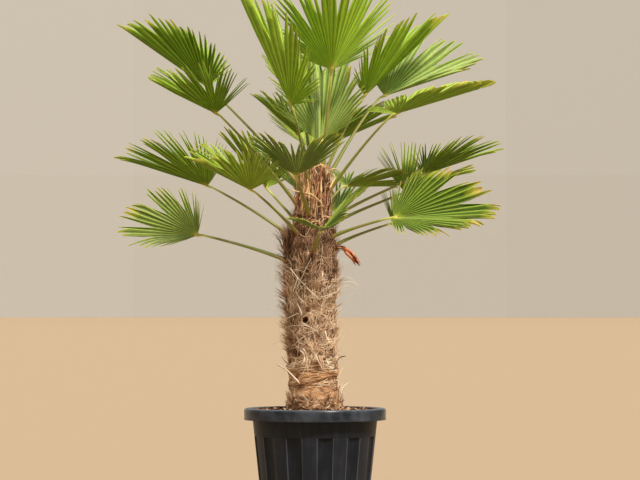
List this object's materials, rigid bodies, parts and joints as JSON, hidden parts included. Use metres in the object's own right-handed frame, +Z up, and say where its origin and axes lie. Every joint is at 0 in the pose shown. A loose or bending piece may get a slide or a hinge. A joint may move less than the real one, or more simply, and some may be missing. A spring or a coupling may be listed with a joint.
{
  "type": "potted windmill palm",
  "caption": "Windmill palm with a fibre-wrapped trunk and a crown of pleated fan leaves on long petioles, standing in a black fluted nursery pot full of soil.",
  "frame": {"origin": "middle of the pot's flat underside, on the surface that it stands on", "axes": "+Z up along the pot's axis, -Y towards the viewer of the plant's front, +X to the right of the front"},
  "size_m": [1.1745, 1.0748, 1.6471],
  "materials": {
    "black_plastic": "satin",
    "soil": "matte",
    "trunk_fibre": "matte",
    "leaf_bright": "satin",
    "leaf_mid": "satin",
    "leaf_deep": "satin",
    "leaf_grey": "satin",
    "dry_stalk": "matte"
  },
  "bodies": {
    "root": {"pot": "black_plastic", "soil": "soil", "trunk": "trunk_fibre", "frond_01": "leaf_deep", "frond_02": "leaf_deep", "frond_03": "leaf_deep", "frond_04": "leaf_mid", "frond_05": "leaf_deep", "frond_06": "leaf_mid", "frond_07": "leaf_deep", "frond_08": "leaf_bright", "frond_09": "leaf_bright", "frond_10": "leaf_grey", "frond_11": "leaf_bright", "frond_12": "leaf_grey", "frond_13": "leaf_mid", "frond_14": "leaf_mid", "frond_15": "leaf_mid", "frond_16": "leaf_mid", "frond_17": "leaf_deep", "frond_18": "leaf_deep", "frond_19": "leaf_mid", "frond_20": "leaf_deep", "frond_21": "leaf_mid", "frond_22": "leaf_mid", "frond_23": "leaf_mid", "frond_24": "leaf_mid", "frond_25": "leaf_mid", "spear_leaf": "leaf_bright", "old_flower_stalk": "dry_stalk"}
  },
  "joints": []
}
